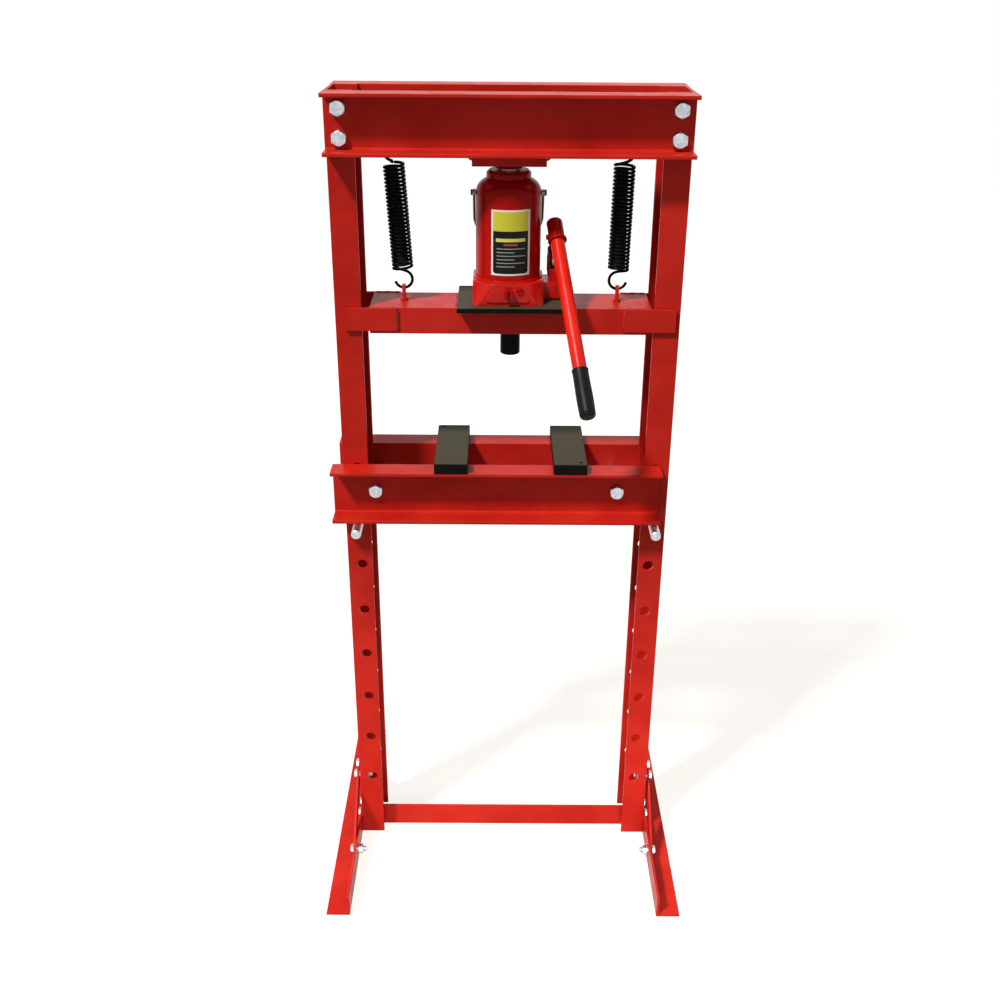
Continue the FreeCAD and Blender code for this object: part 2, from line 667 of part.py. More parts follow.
def jack_body():
    """Reservoir, cylinder, top nut and seals, all turned about the jack's axis."""
    ins = TANK_R - TANK_WALL
    neck = NUT_R - 2.0
    shell = rod(TANK_R, (0, 0, TANK_Z), (0, 0, TANK_TOP))
    rim = [e for e in shell.Edges if e.BoundBox.ZMin > TANK_TOP - 1]
    shell = shell.makeFillet(TANK_SHOULDER, rim)
    hollow = rod(ins, (0, 0, TANK_Z - 1), (0, 0, TANK_TOP - TANK_WALL))
    rim = [e for e in hollow.Edges if e.BoundBox.ZMin > TANK_TOP - TANK_WALL - 1]
    shell = shell.cut(hollow.makeFillet(TANK_SHOULDER - TANK_WALL, rim))
    shell = shell.cut(rod(neck + RUN, (0, 0, TANK_TOP - 9), (0, 0, TANK_TOP + 1)))
    pivot_z = JACK_Z + BAIL_Z
    shell = shell.cut(rod(BAIL_PIN_R + RUN, (-TANK_R - 1, 0, pivot_z), (TANK_R + 1, 0, pivot_z)))
    plug_z = TANK_TOP - 45
    shell = shell.cut(rod(5.0, (0, ins - 3, plug_z), (0, TANK_R + 1, plug_z)))
    export("jack_reservoir", shell)
    plug = rod(5.0 - RUN, (0, ins - 2, plug_z), (0, TANK_R, plug_z))
    export("filler_plug", plug.fuse(rod(7.5, (0, TANK_R, plug_z), (0, TANK_R + 4, plug_z))))
    export("jack_cylinder", ring(CYL_R, RAM_R + RUN, (0, 0, CYL_Z), (0, 0, CYL_TOP)))
    bore = RAM_R + RUN
    groove = (CYL_TOP + 3, CYL_TOP + 7)
    profile = [(bore, CYL_TOP), (CYL_R + RUN, CYL_TOP), (CYL_R + RUN, TANK_TOP - NUT_SKIRT)]
    profile += [(neck, TANK_TOP - NUT_SKIRT), (neck, TANK_TOP), (NUT_R, TANK_TOP)]
    profile += [(NUT_R, NUT_TOP - NUT_CHAMFER), (NUT_R - NUT_CHAMFER, NUT_TOP), (bore, NUT_TOP)]
    profile += [(bore, groove[1]), (bore + 3, groove[1]), (bore + 3, groove[0]), (bore, groove[0])]
    export("jack_top_nut", revolved(profile))
    export("gland_seal", ring(bore + 3 - RUN, bore, (0, 0, groove[0]), (0, 0, groove[1])))


def label():
    """A blank plate wrapped on the front of the reservoir."""
    low = TANK_Z + LABEL_UP
    skin = ring(TANK_R + LABEL_T, TANK_R + 0.02, (0, 0, low), (0, 0, low + LABEL_H))
    keep = box(LABEL_X, (-TANK_R - 5, 0), (low - 1, low + LABEL_H + 1))
    export("jack_label", skin.common(keep))


def ram():
    """The ram, its piston seal, and the extension screw with its saddle."""
    stem = rod(RAM_R, (0, 0, RAM_Z), (0, 0, RAM_TOP))
    groove = (RAM_Z + 4, RAM_Z + 9)
    stem = stem.cut(ring(RAM_R + 1, RAM_R - 4, (0, 0, groove[0]), (0, 0, groove[1])))
    stem = stem.cut(rod(SCREW_R + RUN, (0, 0, RAM_TOP - SCREW_L - 5), (0, 0, RAM_TOP + 1)))
    export("jack_ram", stem)
    export("piston_seal", ring(RAM_R, RAM_R - 4 + RUN, (0, 0, groove[0]), (0, 0, groove[1])))
    screw = rod(SCREW_R, (0, 0, RAM_TOP - SCREW_L), (0, 0, RAM_TOP))
    rim_z = RAM_TOP + 2 * SADDLE_TAPER
    saddle = rod(SADDLE_R, (0, 0, rim_z), (0, 0, SEAT_Z))
    taper = Part.makeCone(SADDLE_R - SADDLE_TAPER, SADDLE_R, 2 * SADDLE_TAPER, vec(0, 0, RAM_TOP))
    export("extension_screw", screw.fuse([taper, saddle]).removeSplitter())


def valves():
    """Release valve with its grip, relief plug, and the balls in their pockets."""
    front = -BASE_SIZE[1] / 2
    x, z = VALVE_AT[0], JACK_Z + VALVE_AT[1]
    stem = rod(VALVE_R, (x, front - 3, z), (x, front + VALVE_IN - 5, z))
    knob = rod(VALVE_R + 2.5, (x, front - 12, z), (x, front - 1, z))
    slot = box((x - 1.5, x + 1.5), (front - 13, front - 7), (z - 10, z + 10))
    export("release_valve", stem.fuse(knob).removeSplitter().cut(slot))
    x, z = RELIEF_AT[0], JACK_Z + RELIEF_AT[1]
    plug = rod(4.0, (x, front, z), (x, front + VALVE_IN - 10, z))
    cap = rod(RELIEF_CAP_R, (x, front, z), (x, front - 4, z))
    slot = box((x - 6.5, x + 6.5), (front - 5, front - 2.8), (z - 0.8, z + 0.8))
    export("relief_plug", plug.fuse(cap).cut(slot))
    ball_r = 3.6
    relief = Part.makeSphere(ball_r, vec(x, front + VALVE_IN - 10 + ball_r + 0.1, z))
    pocket = JACK_Z + LUG_TOP - 29
    inlet = Part.makeSphere(4.6, vec(PUMP_X, PUMP_Y, pocket + 4.7))
    export("valve_balls", relief, inlet)


def pump():
    """Pump barrel, plunger, links and pins, in the plane of the lever."""
    lug_top = JACK_Z + LUG_TOP
    barrel = rod(BARREL_R, (0, 0, lug_top), (0, 0, lug_top + BARREL_H))
    barrel = barrel.fuse(rod(BARREL_R - 2, (0, 0, lug_top - 18), (0, 0, lug_top)))
    barrel = barrel.cut(rod(PLUNGER_R + RUN, (0, 0, lug_top - 19), (0, 0, lug_top + BARREL_H + 1)))
    export("pump_barrel", lever_frame(barrel.removeSplitter()))
    half, behind, ahead = TONGUE
    tongue_low = lug_top + BARREL_H + 1
    stem = rod(PLUNGER_R, (0, 0, lug_top - 14), (0, 0, tongue_low))
    flat = box((-behind, ahead), (-half, half), (tongue_low, PUMP_PIN_Z + TONGUE_ABOVE))
    top = [e for e in flat.Edges if e.BoundBox.ZMin > PUMP_PIN_Z and e.BoundBox.XLength < 1]
    flat = flat.makeFillet(5.0, top)
    slide = LEVER_ARM * (1 - math.cos(HALF_SWING))
    slot_r = LEVER_PIN_R + 0.5
    slot = lever_rod(slot_r, 0, 9, PUMP_PIN_Z).fuse(lever_rod(slot_r, slide, 9, PUMP_PIN_Z))
    slot = slot.fuse(box((0, slide), (-9, 9), (PUMP_PIN_Z - slot_r, PUMP_PIN_Z + slot_r)))
    export("pump_plunger", lever_frame(stem.fuse(flat).removeSplitter().cut(slot)))
    cheek_out = half + SIDE_GAP + CHEEK_T
    inner = cheek_out + SIDE_GAP
    out = inner + LINK_T
    # the two links are the sides of one pressed channel, whose web stands behind them
    web_u = PIVOT_U - LINK_R - LINK_WEB_SET
    link = box((web_u - LINK_T, web_u), (-out, out), (LINK_FOOT_Z, PIVOT_Z - LINK_R))
    for side in (-1, 1):
        y = sorted((side * inner, side * out))
        link = link.fuse(box((PIVOT_U - LINK_R, PIVOT_U + LINK_R), y, (LINK_FOOT_Z, PIVOT_Z)))
        link = link.fuse(box((web_u - LINK_WEB_SET, PIVOT_U), y, (LINK_FOOT_Z, PIVOT_Z - LINK_R)))
        for z in (LINK_FOOT_Z, PIVOT_Z):
            link = link.fuse(rod(LINK_R, (PIVOT_U, y[0], z), (PIVOT_U, y[1], z)))
    link = link.removeSplitter()
    for z in (LINK_FOOT_Z, PIVOT_Z):
        link = link.cut(lever_rod(LEVER_PIN_R, PIVOT_U, 20, z))
    export("pump_links", lever_frame(link))
    end = out + 1.5
    pins = [lever_frame(lever_rod(LEVER_PIN_R, PIVOT_U, end, z)) for z in (LINK_FOOT_Z, PIVOT_Z)]
    export("link_pins", *pins)


def along_handle(t, lift=0.0):
    """A point on the handle's line in the lever's plane, lifted square to the line."""
    u = t * math.cos(DIP) + lift * math.sin(DIP)
    return (u, 0, JACK_Z + AXIS_LIFT - t * math.sin(DIP) + lift * math.cos(DIP))


def socket():
    """The sleeve that takes the handle, on two cheeks that straddle the plunger."""
    rear = SOCKET_AHEAD - SOCKET_L
    sleeve = rod(SOCKET_R, along_handle(rear), along_handle(SOCKET_AHEAD))
    rims = [e for e in sleeve.Edges if type(e.Curve) is Part.Circle]
    closed = [e for e in rims if e.BoundBox.Center.z > JACK_Z + AXIS_LIFT]
    sleeve = sleeve.makeFillet(SOCKET_DOME, closed)
    lip = rod(LIP_R, along_handle(SOCKET_AHEAD - LIP_L), along_handle(SOCKET_AHEAD))
    body = sleeve.fuse(lip)
    inner = TONGUE[0] + SIDE_GAP
    wall = -(TUBE_R + 0.5)
    top_rear = along_handle(rear + 4, wall)
    top_front = along_handle(SOCKET_AHEAD - 6, wall)
    low = PUMP_PIN_Z - 7
    corners = [(top_rear[0], top_rear[2]), (PIVOT_U - 8, PIVOT_Z + 6), (PIVOT_U - 6, PIVOT_Z - 6)]
    corners += [(-5, low), (5, low), (8, PUMP_PIN_Z), (top_front[0], top_front[2])]
    for side in (-1, 1):
        y = side * inner
        points = [vec(u, y, z) for u, z in corners]
        body = body.fuse(prism(points, [0] * len(points), (0, side * CHEEK_T, 0)))
    body = body.removeSplitter()
    bore = rod(TUBE_R + RUN, along_handle(rear + SOCKET_END), along_handle(SOCKET_AHEAD + 1))
    body = body.cut(bore)
    body = body.cut(lever_rod(LEVER_PIN_R + RUN, PIVOT_U, 20, PIVOT_Z))
    body = body.cut(lever_rod(LEVER_PIN_R, 0, 20, PUMP_PIN_Z))
    u, _, z = along_handle(SOCKET_AHEAD - 9)
    body = body.cut(rod(3.0, (u, 0, z), (u, -20, z)))
    export("handle_socket", lever_frame(body))
    end = inner + CHEEK_T
    export("lever_pin", lever_frame(lever_rod(LEVER_PIN_R, 0, end, PUMP_PIN_Z)))
    screw = rod(3.0, (u, -TUBE_R - 0.3, z), (u, -SOCKET_R - 3, z))
    screw = screw.fuse(rod(4.5, (u, -SOCKET_R - 0.2, z), (u, -SOCKET_R - 4.5, z)))
    export("handle_screw", lever_frame(screw.removeSplitter()))


def handle():
    """The steel tube that fits the socket, and the rubber grip on its end."""
    start = SOCKET_AHEAD - TUBE_IN
    stop = GRIP_END - GRIP_CAP
    tube = ring(TUBE_R, TUBE_R - TUBE_WALL, along_handle(start), along_handle(stop))
    export("handle_tube", lever_frame(tube))
    grip = rod(GRIP_R, along_handle(GRIP_END - GRIP_L), along_handle(GRIP_END))
    rims = [e for e in grip.Edges if type(e.Curve) is Part.Circle]
    grip = grip.makeFillet(1.4, rims)
    grip = grip.cut(rod(TUBE_R, along_handle(GRIP_END - GRIP_L - 1), along_handle(stop)))
    export("handle_grip", lever_frame(grip))


def bail():
    """A wire bail that hangs on two screws and leans on the back of the reservoir."""
    z = JACK_Z + BAIL_Z

    def at(x, s):
        return vec(x, s * math.cos(BAIL_DROP), z - s * math.sin(BAIL_DROP))

    straight = BAIL_REACH - BAIL_X
    points = [at(BAIL_X, 2), at(BAIL_X, straight), at(-BAIL_X, straight), at(-BAIL_X, 2)]
    edges = [Part.LineSegment(points[0], points[1])]
    edges.append(Part.Arc(points[1], at(0, BAIL_REACH), points[2]))
    edges.append(Part.LineSegment(points[2], points[3]))
    path = Part.Wire([e.toShape() for e in edges])
    start = Part.Wire(Part.makeCircle(BAIL_WIRE, points[0], points[1] - points[0]))
    wire = path.makePipeShell([start], True, True)
    screws = []
    for side in (-1, 1):
        a = side * (BAIL_X - BAIL_EYE_HALF)
        b = side * (BAIL_X + BAIL_EYE_HALF)
        wire = wire.fuse(rod(BAIL_EYE_R, (a, 0, z), (b, 0, z)))
        wire = wire.cut(rod(BAIL_PIN_R + RUN, (a - side, 0, z), (b + side, 0, z)))
        tip = side * (TANK_R - TANK_WALL)
        screw = rod(BAIL_PIN_R, (tip, 0, z), (b + side * 0.3, 0, z))
        head_start = (b + side * 0.3, 0, z)
        screws.append(screw.fuse(rod(5.0, head_start, (b + side * 3.3, 0, z))).removeSplitter())
    export("carry_bail", wire.removeSplitter())
    export("bail_screws", *screws)


# ---- return springs ----
def coil(low, high):
    """A close-wound coil between two heights on the Z axis, drawn as a ribbed sleeve."""
    pitch = (high - low) / COIL_TURNS
    step = pitch / 2
    inner = COIL_R - WIRE_R
    edges = []
    for i in range(COIL_TURNS):
        a = vec(COIL_R, 0, low + i * pitch)
        b = vec(COIL_R, 0, low + (i + 1) * pitch)
        edges.append(Part.Arc(a, vec(COIL_R + WIRE_R, 0, a.z + step), b).toShape())
    cap = 2 * WIRE_R
    hollow = Part.makeCylinder(inner, high - low - 2 * cap, vec(0, 0, low + cap))
    edges.append(Part.LineSegment(vec(COIL_R, 0, high), vec(0, 0, high)).toShape())
    edges.append(Part.LineSegment(vec(0, 0, high), vec(0, 0, low)).toShape())
    edges.append(Part.LineSegment(vec(0, 0, low), vec(COIL_R, 0, low)).toShape())
    body = Part.Face(Part.Wire(edges)).revolve(vec(0, 0, 0), vec(0, 0, 1), 360)
    return body.cut(hollow)


def hook(z, start, clockwise):
    """Most of a wire circle in the XZ plane, from its start angle round to its open end."""
    arc = Part.makeTorus(HOOK_R, WIRE_R, vec(0, 0, 0), vec(0, 0, 1), 0, 360, HOOK_SWEEP)
    turned(arc, (1, 0, 0), 90)
    turned(arc, (0, -1, 0), start - HOOK_SWEEP if clockwise else start)
    return moved(arc, 0, 0, z)


def springs():
    """Tension springs from the head's hangers down to the eyes on the beam."""
    top = HEAD_Z + HANGER_UP + HANGER_R + WIRE_R + SEAT_GAP - HOOK_R
    low = BEAM_TOP + EYE_UP + (EYE_HOLE - WIRE_R - HOOK_GAP) + HOOK_R
    for name, side in (("left", -1), ("right", 1)):
        foot_x = BEAM_SHIFT + side * EYE_X
        head_x = side * HANGER_X
        lean = math.degrees(math.atan2(head_x - foot_x, top - low))
        span = math.hypot(head_x - foot_x, top - low)
        coil_low = (span - COIL_L) / 2
        spring = coil(coil_low, coil_low + COIL_L)
        for z, rise in ((0, 1), (span, -1)):
            shank = coil_low - HOOK_R
            a = (0, 0, z + rise * HOOK_R)
            spring = spring.fuse(rod(WIRE_R, a, (0, 0, z + rise * (HOOK_R + shank + 1))))
            spring = spring.fuse(hook(z, 90 * rise, side < 0))
        turned(spring, (0, 1, 0), lean)
        export("spring_" + name, moved(spring.removeSplitter(), foot_x, 0, low))


def main():
    os.makedirs("parts", exist_ok=True)
    head()
    seat_plate()
    hangers()
    base()
    bed()
    bed_pins()
    arbor_plates()
    beam()
    jack_plate()
    press_pin()
    spring_eyes()
    export("jack_base", jack_base())
    jack_body()
    label()
    ram()
    valves()
    pump()
    socket()
    handle()
    bail()
    springs()


main()
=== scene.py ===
# %% [markdown]
# # A hydraulic shop press
# A shop press is a tall frame of rolled steel channel. A bottle jack pushes a beam
# down onto the work, and two springs pull the beam back up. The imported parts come
# in as a fixed frame, already in place, so this lesson gives them their finishes
# and adds what solid modelling leaves out: the wound springs, the weld beads, the
# rolled threads, the moulded grip and the rough skin of the jack's casting.

# %% Load the frame
import json
import math

import bpy
import numpy as np
from mathutils import Matrix, Vector


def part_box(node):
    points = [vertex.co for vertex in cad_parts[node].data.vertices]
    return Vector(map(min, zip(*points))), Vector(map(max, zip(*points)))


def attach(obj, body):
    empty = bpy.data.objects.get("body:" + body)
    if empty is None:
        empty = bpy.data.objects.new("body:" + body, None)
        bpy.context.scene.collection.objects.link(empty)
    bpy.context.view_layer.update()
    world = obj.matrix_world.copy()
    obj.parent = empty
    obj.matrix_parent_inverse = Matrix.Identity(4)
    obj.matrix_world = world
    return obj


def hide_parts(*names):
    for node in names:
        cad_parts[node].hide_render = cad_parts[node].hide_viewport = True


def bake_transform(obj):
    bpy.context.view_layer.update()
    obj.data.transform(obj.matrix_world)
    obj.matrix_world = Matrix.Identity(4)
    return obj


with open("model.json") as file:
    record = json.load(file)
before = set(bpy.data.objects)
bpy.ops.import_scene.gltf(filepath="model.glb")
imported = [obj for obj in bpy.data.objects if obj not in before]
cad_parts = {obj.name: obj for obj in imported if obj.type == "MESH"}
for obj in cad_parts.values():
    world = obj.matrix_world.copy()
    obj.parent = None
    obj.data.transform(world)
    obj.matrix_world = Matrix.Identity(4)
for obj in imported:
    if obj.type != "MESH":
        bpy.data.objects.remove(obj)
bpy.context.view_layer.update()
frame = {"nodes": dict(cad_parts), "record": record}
NODES = frame["nodes"]
MM = 0.001

# %% [markdown]
# ## The camera
# The press is seen from a little above its head, with a lens of near normal length,
# so its posts lean in towards the floor. The camera turns in three steps: it pans
# about the vertical, then tilts down, then rolls about its own line of sight.

# %% Place the camera
FOCAL_MM = 43.13
SENSOR_MM = 36.0
SHIFT_UP = 0.0202
CAMERA_AT = (-0.0178, -2.0717, 1.7142)
PAN, TILT, ROLL = 0.00346, 0.44938, -0.00746

lens = bpy.data.cameras.new("camera")
lens.lens = FOCAL_MM
lens.sensor_width = SENSOR_MM
lens.shift_y = SHIFT_UP
lens.clip_end = 30.0
camera = bpy.data.objects.new("camera", lens)
bpy.context.scene.collection.objects.link(camera)
turn = Matrix.Rotation(-PAN, 4, "Z") @ Matrix.Rotation(math.pi / 2 - TILT, 4, "X")
turn = turn @ Matrix.Rotation(-ROLL, 4, "Z")
camera.matrix_world = Matrix.Translation(CAMERA_AT) @ turn
bpy.context.scene.camera = camera
bpy.context.scene.view_settings.view_transform = "Standard"

# %% [markdown]
# ## One function that adds a node
# Every finish and the world are node trees. A single helper makes a node, sets its
# properties and fills its sockets, each with a plain value or with a link.

# %% A helper for nodes
def add(tree, kind, sockets=None, **settings):
    """Adds a node; sockets maps a socket's name or number to a value or another socket."""
    node = tree.nodes.new("ShaderNode" + kind)
    for name, value in settings.items():
        setattr(node, name, value)
    for key, value in (sockets or {}).items():
        if isinstance(value, bpy.types.NodeSocket):
            tree.links.new(value, node.inputs[key])
        else:
            node.inputs[key].default_value = value
    return node


def colour(code):
    """A hex sRGB code as linear RGBA: each channel is ((c + 0.055) / 1.055) ** 2.4."""
    values = np.array([int(code[i:i + 2], 16) for i in (0, 2, 4)]) / 255
    linear = np.where(values < 0.04045, values / 12.92, ((values + 0.055) / 1.055) ** 2.4)
    return (*linear.tolist(), 1.0)


# %% [markdown]
# ## Light and floor
# A studio sweep is white paper under a large lamp. The key light stands high on the
# left and in front, and the white room around fills the shadows. The floor keeps the
# shadow that the press throws on it, and its brightness for the camera comes from
# its own material, so the lamps stay at a plain level. A weak low lamp stands in for
# the light that paper throws back at the feet.

# %% Set up the light
KEY_FROM = Vector((-1.0, -1.0, 1.8))
KEY_POWER = 3.6
KEY_SOFTNESS = math.radians(7)
FILL_LEVEL = 0.3
LOW_AT, LOW_AIM = Vector((0.1, -0.95, 0.5)), Vector((0, -0.1, 0))
LOW_POWER = 2.1
LOW_SPREAD = math.radians(80)
LOW_WIDE, LOW_TALL = 1.2, 0.25

key = bpy.data.lights.new("key", "SUN")
key.energy = KEY_POWER
key.angle = KEY_SOFTNESS
key_object = bpy.data.objects.new("key", key)
bpy.context.scene.collection.objects.link(key_object)
key_object.rotation_euler = KEY_FROM.to_track_quat("Z", "Y").to_euler()

low = bpy.data.lights.new("low_softbox", "AREA")
low.shape = "RECTANGLE"
low.size, low.size_y = LOW_WIDE, LOW_TALL
low.energy = LOW_POWER
low.spread = LOW_SPREAD
low_object = bpy.data.objects.new("low_softbox", low)
bpy.context.scene.collection.objects.link(low_object)
low_object.location = LOW_AT
low_object.rotation_euler = (LOW_AT - LOW_AIM).to_track_quat("Z", "Y").to_euler()

world = bpy.data.worlds.new("white_room")
world.use_nodes = True
bpy.context.scene.world = world
room = world.node_tree
room.nodes.clear()
path = add(room, "LightPath")
seen = add(room, "Math", {0: path.outputs["Is Camera Ray"], 1: path.outputs["Is Glossy Ray"]},
           operation="MAXIMUM")
seen = add(room, "Math", {0: seen.outputs[0], 1: path.outputs["Is Transmission Ray"]},
           operation="MAXIMUM")
fill = add(room, "Background", {"Color": (1, 1, 1, 1), "Strength": FILL_LEVEL})
white = add(room, "Background", {"Color": (1, 1, 1, 1), "Strength": 1.0})
both = add(room, "MixShader", {0: seen.outputs[0], 1: fill.outputs[0], 2: white.outputs[0]})
add(room, "OutputWorld", {0: both.outputs[0]})

# %% Lay the floor
FLOOR_HALF = 6.0
FLOOR_GLOW = 0.84
FLOOR_DOWN = 0.5 * MM         # keeps the paper clear of the feet's undersides

paper = bpy.data.materials.new("white_paper_sweep")
paper.use_nodes = True
sweep = paper.node_tree
sweep.nodes.clear()
path = add(sweep, "LightPath")
seen = add(sweep, "Math", {0: path.outputs["Is Camera Ray"], 1: path.outputs["Is Glossy Ray"]},
           operation="MAXIMUM")
glow = add(sweep, "Math", {0: seen.outputs[0], 1: FLOOR_GLOW}, operation="MULTIPLY")
matt = add(sweep, "BsdfDiffuse", {"Color": colour("8E8B86")})
shine = add(sweep, "Emission", {"Color": colour("FFFDF8"), "Strength": glow.outputs[0]})
both = add(sweep, "AddShader", {0: matt.outputs[0], 1: shine.outputs[0]})
add(sweep, "OutputMaterial", {0: both.outputs[0]})
corners = np.array([(-1, -1), (1, -1), (1, 1), (-1, 1)]) * FLOOR_HALF
floor_mesh = bpy.data.meshes.new("floor")
floor_mesh.from_pydata([(x, y, -FLOOR_DOWN) for x, y in corners], [], [(0, 1, 2, 3)])
floor_mesh.materials.append(paper)
floor = bpy.data.objects.new("floor", floor_mesh)
bpy.context.scene.collection.objects.link(floor)

# %% [markdown]
# ## Surfaces from arrays
# Each added piece is a grid of points worked out as one array: rows run along the
# piece and columns run round it. One function turns such a grid into a mesh, joins
# the last column to the first, and closes both ends.

# %% Helpers for surfaces
def quads(rows, columns, first=0):
    """Corner numbers of the squares of a grid whose last column joins its first."""
    row, column = np.meshgrid(np.arange(rows - 1), np.arange(columns), indexing="ij")
    after = (column + 1) % columns
    corners = (row * columns + column, row * columns + after)
    corners += ((row + 1) * columns + after, (row + 1) * columns + column)
    return first + np.stack(corners, axis=-1).reshape(-1, 4)


def piece(name, grids, finish, body):
    """Joins closed grids, each (rows, columns, 3) in metres, into one piece on a body."""
    points = np.concatenate([grid.reshape(-1, 3) for grid in grids])
    faces = []
    first = 0
    for grid in grids:
        rows, columns, _ = grid.shape
        faces += quads(rows, columns, first).tolist()
        faces.append(list(range(first + columns - 1, first - 1, -1)))
        last = first + (rows - 1) * columns
        faces.append(list(range(last, last + columns)))
        first += rows * columns
    mesh = bpy.data.meshes.new(name)
    mesh.from_pydata(points.tolist(), [], faces)
    mesh.polygons.foreach_set("use_smooth", np.full(len(faces), True))
    mesh.materials.append(finish)
    made = bpy.data.objects.new(name, mesh)
    bpy.context.scene.collection.objects.link(made)
    if body:
        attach(made, body)
    print(name, len(points), "points")
    return made


def box_mm(node):
    """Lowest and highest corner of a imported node, in mm to a tenth."""
    return [np.round(np.array(corner) / MM, 1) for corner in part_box(node)]


def tube(path, radius, towards, columns=10):
    """Points round a path: path + r cos(a) n + r sin(a) b, where n is towards made square
    to the path's direction t, and b is t x n. The radius is one value or a whole grid."""
    along = np.gradient(path, axis=0)
    along /= np.linalg.norm(along, axis=1, keepdims=True)
    towards = np.broadcast_to(towards, path.shape)
    normal = towards - np.sum(towards * along, axis=1, keepdims=True) * along
    normal /= np.linalg.norm(normal, axis=1, keepdims=True)
    across = np.cross(along, normal)
    angle = np.linspace(0, 2 * np.pi, columns, endpoint=False)[None, :, None]
    radius = np.broadcast_to(radius, (len(path), columns))[..., None]
    ring = np.cos(angle) * normal[:, None] + np.sin(angle) * across[:, None]
    return path[:, None] + radius * ring


# %% [markdown]
# ## Enamel on rolled steel
# The channels are hot rolled, blasted and sprayed with gloss enamel. Sprayed enamel
# has a fine orange peel, a millimetre or two across, which breaks up reflections,
# and it thins at sharp edges, where it looks a little darker and then rubs off. The
# red also drifts slightly over a hand's width, where the coat is thicker.

# %% Enamel
def noise(tree, size, detail=2.0, roughness=0.5, stretch=(1, 1, 1)):
    """Noise on Object coordinates whose lumps are about size metres across."""
    place = add(tree, "TexCoord")
    spread = add(tree, "Mapping", {0: place.outputs["Object"], "Scale": stretch})
    made = add(tree, "TexNoise", {"Vector": spread.outputs[0], "Scale": 1 / size,
                                  "Detail": detail, "Roughness": roughness})
    return made.outputs[0]


def ramp(tree, value, low, high, to_low=0.0, to_high=1.0):
    """The value taken from low..high to to_low..to_high, and held there outside."""
    made = add(tree, "MapRange", {0: value, 1: low, 2: high, 3: to_low, 4: to_high})
    return made.outputs[0]


def edges(tree, radius):
    """The normal rounded to radius, and one minus its cosine with the flat face."""
    rounded = add(tree, "Bevel", {"Radius": radius}, samples=6)
    face = add(tree, "NewGeometry")
    cosine = add(tree, "VectorMath", {0: rounded.outputs[0], 1: face.outputs["True Normal"]},
                 operation="DOT_PRODUCT")
    bent = add(tree, "Math", {0: 1.0, 1: cosine.outputs["Value"]}, operation="SUBTRACT")
    return rounded.outputs[0], bent.outputs[0]


def start(name):
    """An empty material and its tree."""
    made = bpy.data.materials.new(name)
    made.use_nodes = True
    made.node_tree.nodes.clear()
    return made, made.node_tree


def blend_colours(tree, share, first, second):
    """A mix of two colours, each a value or a socket."""
    made = add(tree, "Mix", {0: share, 6: first, 7: second}, data_type="RGBA")
    return made.outputs[2]


def bump(tree, height, depth, normal=None):
    """A bump of the given depth in metres, on top of another normal."""
    made = add(tree, "Bump", {"Height": height, "Distance": depth, "Strength": 1.0})
    if normal is not None:
        tree.links.new(normal, made.inputs["Normal"])
    return made.outputs["Normal"]


def enamel(name, face, thick, worn, peel=2.2 * MM, peel_depth=0.02 * MM, gloss=0.2,
           cast_size=0.0, cast_depth=0.0, level=0.1):
    """Sprayed gloss enamel; cast_size and cast_depth add the skin of a sand casting."""
    made, tree = start(name)
    drift = ramp(tree, noise(tree, 110 * MM, 3.0), 0.35, 0.65)
    body = blend_colours(tree, drift, colour(face), colour(thick))
    rounded, bent = edges(tree, 1.0 * MM)
    rub = noise(tree, 6 * MM, 4.0, 0.65)
    chip = add(tree, "Math", {0: ramp(tree, bent, 0.04, 0.3), 1: ramp(tree, rub, 0.5, 0.62)},
               operation="MULTIPLY")
    body = blend_colours(tree, chip.outputs[0], body, colour(worn))
    dust = ramp(tree, noise(tree, 35 * MM, 5.0, 0.6), 0.3, 0.75, gloss, gloss + 0.16)
    normal = bump(tree, noise(tree, peel, 1.0), peel_depth, rounded)
    if cast_depth:
        normal = bump(tree, noise(tree, cast_size, 4.0, 0.6), cast_depth, normal)
    shader = add(tree, "BsdfPrincipled", {"Base Color": body, "Roughness": dust,
                                          "Specular IOR Level": level, "Normal": normal})
    add(tree, "OutputMaterial", {0: shader.outputs[0]})
    return made


FRAME_ENAMEL = enamel("gloss_enamel_on_rolled_steel", "C4281C", "B21C12", "5A1410", gloss=0.28)
JACK_ENAMEL = enamel("gloss_enamel_on_tube", "B40F0A", "A20C08", "4A120C", level=0.08)
CAST_ENAMEL = enamel("gloss_enamel_on_sand_casting", "C81206", "AE0C06", "6A1A12",
                     gloss=0.12, cast_size=5 * MM, cast_depth=0.7 * MM, level=0.22)
LINK_ENAMEL = enamel("thin_enamel_on_pressed_link", "9A0C08", "8A0A06", "4A120C", gloss=0.5,
                     level=0.02)
WELD_ENAMEL = enamel("gloss_enamel_over_weld", "BC1810", "A8100A", "5A1410",
                     gloss=0.1, level=0.4)
HANDLE_ENAMEL = enamel("bright_enamel_on_handle_tube", "DC200E", "D01A0C", "7A1C14", level=0.2)
